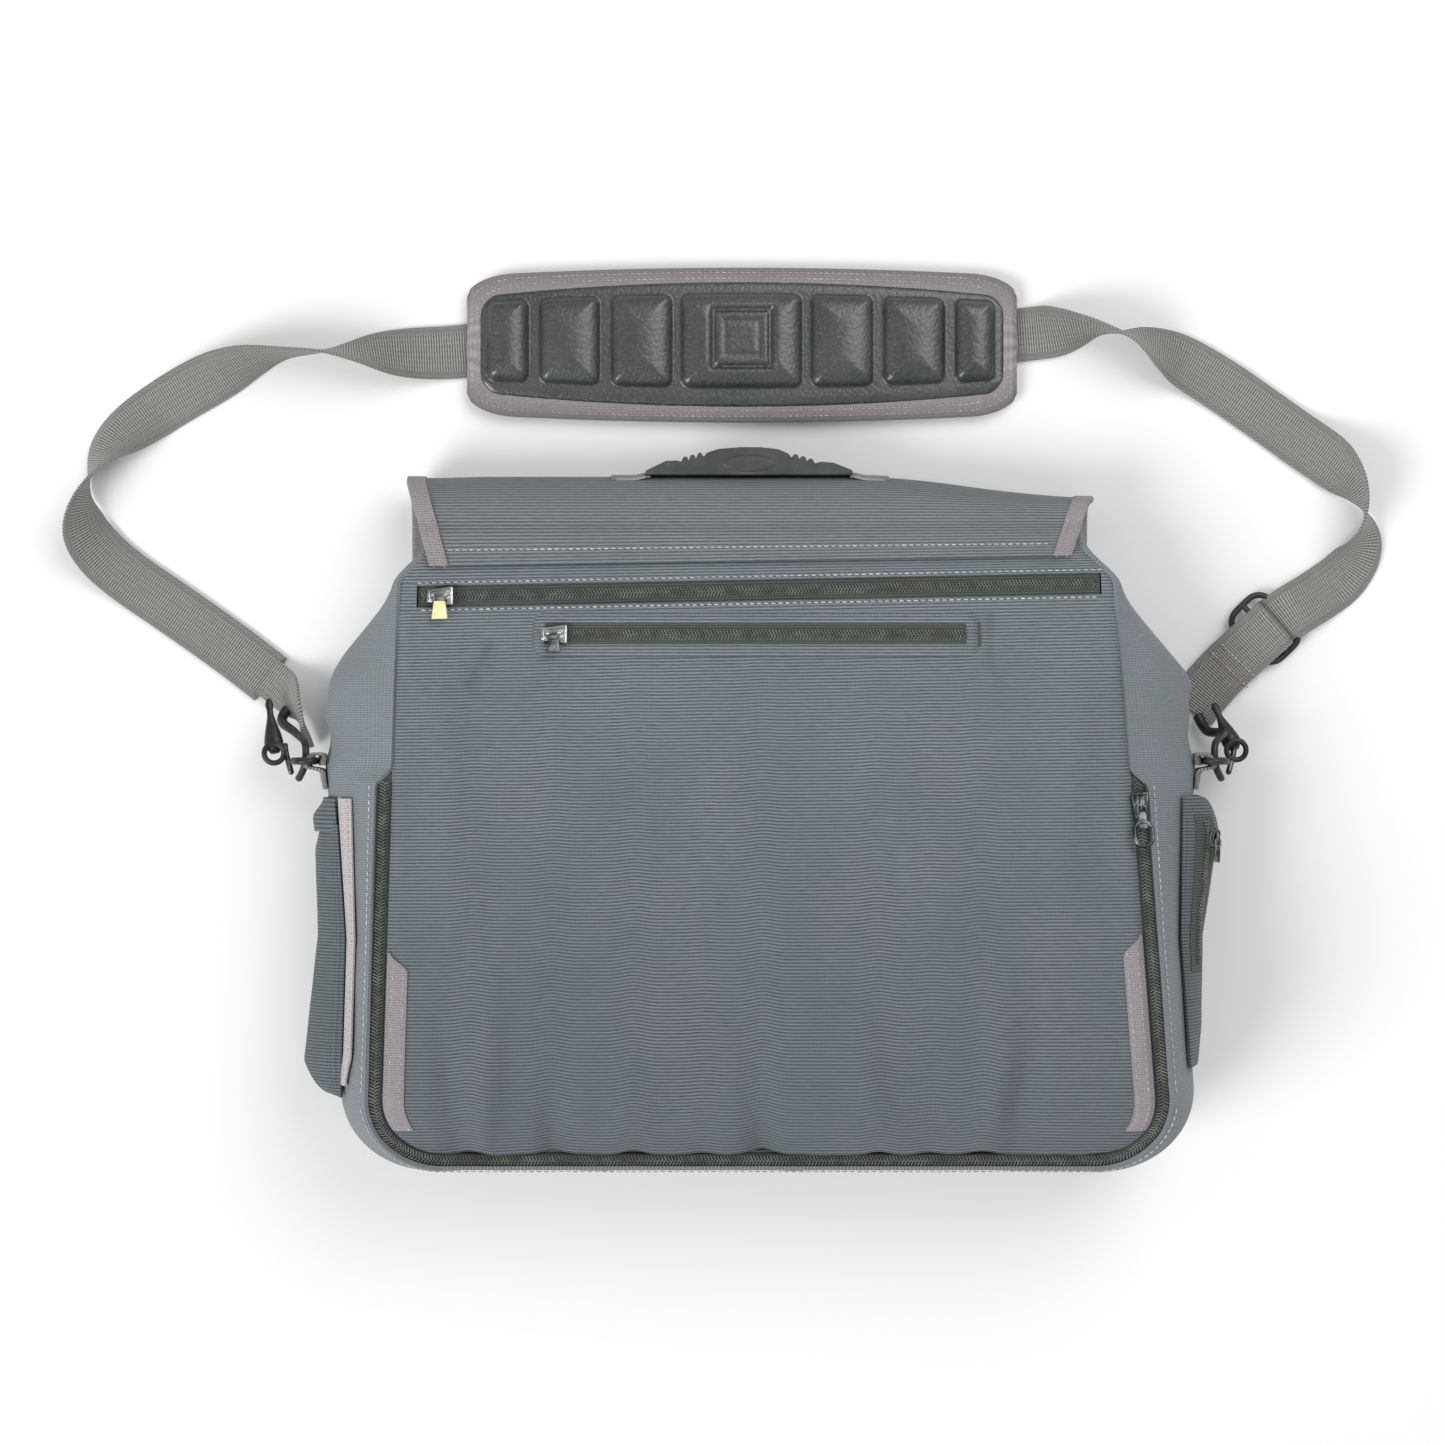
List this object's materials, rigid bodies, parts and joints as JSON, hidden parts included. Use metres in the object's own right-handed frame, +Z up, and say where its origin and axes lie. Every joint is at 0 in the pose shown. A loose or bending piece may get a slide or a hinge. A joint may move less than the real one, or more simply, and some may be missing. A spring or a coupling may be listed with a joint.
{
  "type": "messenger bag",
  "caption": "Padded shoulder bag for post and a laptop, lying on its flap, with zipped back pockets, side pockets, a top handle and a long padded strap laid out.",
  "frame": {"origin": "on the resting face, at the middle of the closed flap's outer face", "axes": "+Z up out of the bag's back, +Y towards the bag's top edge, +X to the bag's right"},
  "size_m": [0.6288, 0.425, 0.0966],
  "materials": {
    "canvas": "fine horizontal ribs, matte",
    "gusset_canvas": "fine vertical ribs, matte",
    "lining": "plain woven nylon",
    "edge_binding": "folded grosgrain tape, stitched",
    "zip_tape": "fine knitted tape",
    "zip_coil": "nylon coil",
    "dark_metal": "dark plated zinc",
    "yellow_tab": "soft matte moulding",
    "webbing": "cross ribbed webbing with a plain selvedge",
    "pad_face": "moulded grained sheet",
    "grip_rubber": "moulded matte rubber",
    "black_plastic": "moulded acetal"
  },
  "bodies": {
    "bag": {"back_panel": "canvas", "back_yoke": "canvas", "front_panel": "canvas", "flap_back_strip": "canvas", "left_pocket": "canvas", "right_pocket": "canvas", "left_gusset": "gusset_canvas", "right_gusset": "gusset_canvas", "bottom_gusset": "gusset_canvas", "laptop_divider": "lining", "back_pocket_lining": "lining", "left_corner_binding": "edge_binding", "right_corner_binding": "edge_binding", "strip_left_binding": "edge_binding", "strip_right_binding": "edge_binding", "left_pocket_binding": "edge_binding", "pad_base": "edge_binding", "upper_zip_tape": "zip_tape", "lower_zip_tape": "zip_tape", "front_left_loop_tape": "zip_tape", "front_right_loop_tape": "zip_tape", "upper_zip_coil": "zip_coil", "lower_zip_coil": "zip_coil", "laptop_zip_coil": "zip_coil", "right_pocket_coil": "zip_coil", "strap_left": "webbing", "strap_right": "webbing", "strap_tail": "webbing", "pad_webbing": "webbing", "left_ring_tab": "webbing", "right_ring_tab": "webbing", "pad_cushion": "pad_face", "tri_glide": "black_plastic", "left_d_ring": "black_plastic", "right_d_ring": "black_plastic", "left_hook": "black_plastic", "right_hook": "black_plastic"},
    "flap": {"flap_panel": "canvas", "flap_left_binding": "edge_binding", "flap_right_binding": "edge_binding", "flap_left_hook_tape": "zip_tape", "flap_right_hook_tape": "zip_tape", "handle_left_tab": "webbing", "handle_right_tab": "webbing"},
    "handle": {"handle_grip": "grip_rubber", "handle_inset": "black_plastic"},
    "upper_slider": {"upper_zip_slider": "dark_metal"},
    "upper_pull": {"upper_zip_pull": "yellow_tab"},
    "lower_slider": {"lower_zip_slider": "dark_metal"},
    "lower_pull": {"lower_zip_pull": "dark_metal"},
    "laptop_slider": {"laptop_zip_slider": "dark_metal"},
    "laptop_pull": {"laptop_zip_pull": "dark_metal"},
    "pocket_slider": {"right_pocket_slider": "dark_metal"},
    "pocket_pull": {"right_pocket_pull": "dark_metal"},
    "pocket_lid": {"left_pocket_lid": "canvas"},
    "left_gate": {"left_hook_gate": "dark_metal"},
    "right_gate": {"right_hook_gate": "dark_metal"}
  },
  "joints": [
    {"name": "flap_hinge", "type": "hinge", "parent": "bag", "child": "flap", "pos_m": [0, 0.1431, 0.044], "axis": [1, 0, 0], "range_deg": [0, 88]},
    {"name": "handle_lift", "type": "slide", "parent": "flap", "child": "handle", "axis": [0, 1, 0], "range_m": [0, 0.012]},
    {"name": "upper_zip_slide", "type": "slide", "parent": "bag", "child": "upper_slider", "axis": [0.9998, 0.02, -0.0039], "range_m": [0, 0.29]},
    {"name": "upper_pull_hinge", "type": "hinge", "parent": "upper_slider", "child": "upper_pull", "pos_m": [-0.15047, 0.1061, 0.05528], "axis": [-0.9998, -0.02, 0], "range_deg": [0, 150]},
    {"name": "lower_zip_slide", "type": "slide", "parent": "bag", "child": "lower_slider", "axis": [1, 0, 0], "range_m": [0, 0.185]},
    {"name": "lower_pull_hinge", "type": "hinge", "parent": "lower_slider", "child": "lower_pull", "pos_m": [-0.0975, 0.08825, 0.06237], "axis": [-1, 0, 0], "range_deg": [0, 150]},
    {"name": "laptop_zip_slide", "type": "slide", "parent": "bag", "child": "laptop_slider", "axis": [0.0508, -0.9802, 0.1915], "range_m": [0, 0.12]},
    {"name": "laptop_pull_hinge", "type": "hinge", "parent": "laptop_slider", "child": "laptop_pull", "pos_m": [0.17066, 0.00877, 0.0744], "axis": [-0.9987, -0.0517, 0], "range_deg": [0, 150]},
    {"name": "pocket_zip_slide", "type": "slide", "parent": "bag", "child": "pocket_slider", "axis": [-0.1095, -0.9843, 0.1386], "range_m": [0, 0.04]},
    {"name": "pocket_pull_hinge", "type": "hinge", "parent": "pocket_slider", "child": "pocket_pull", "pos_m": [0.20825, -0.00691, 0.05635], "axis": [-0.8053, 0.1696, 0.568], "range_deg": [0, 120]},
    {"name": "pocket_lid_hinge", "type": "hinge", "parent": "bag", "child": "pocket_lid", "pos_m": [-0.203, 0.0142, 0.03], "axis": [0, 0, -1], "range_deg": [0, 35]},
    {"name": "left_gate_hinge", "type": "hinge", "parent": "bag", "child": "left_gate", "pos_m": [-0.2275, 0.039, 0.0195], "axis": [-0.449, -0.2494, -0.858], "range_deg": [0, 12], "stiffness_Nm_per_rad": 0.02},
    {"name": "right_gate_hinge", "type": "hinge", "parent": "bag", "child": "right_gate", "pos_m": [0.2228, 0.039, 0.0195], "axis": [-0.449, 0.2494, 0.858], "range_deg": [0, 12], "stiffness_Nm_per_rad": 0.02}
  ]
}
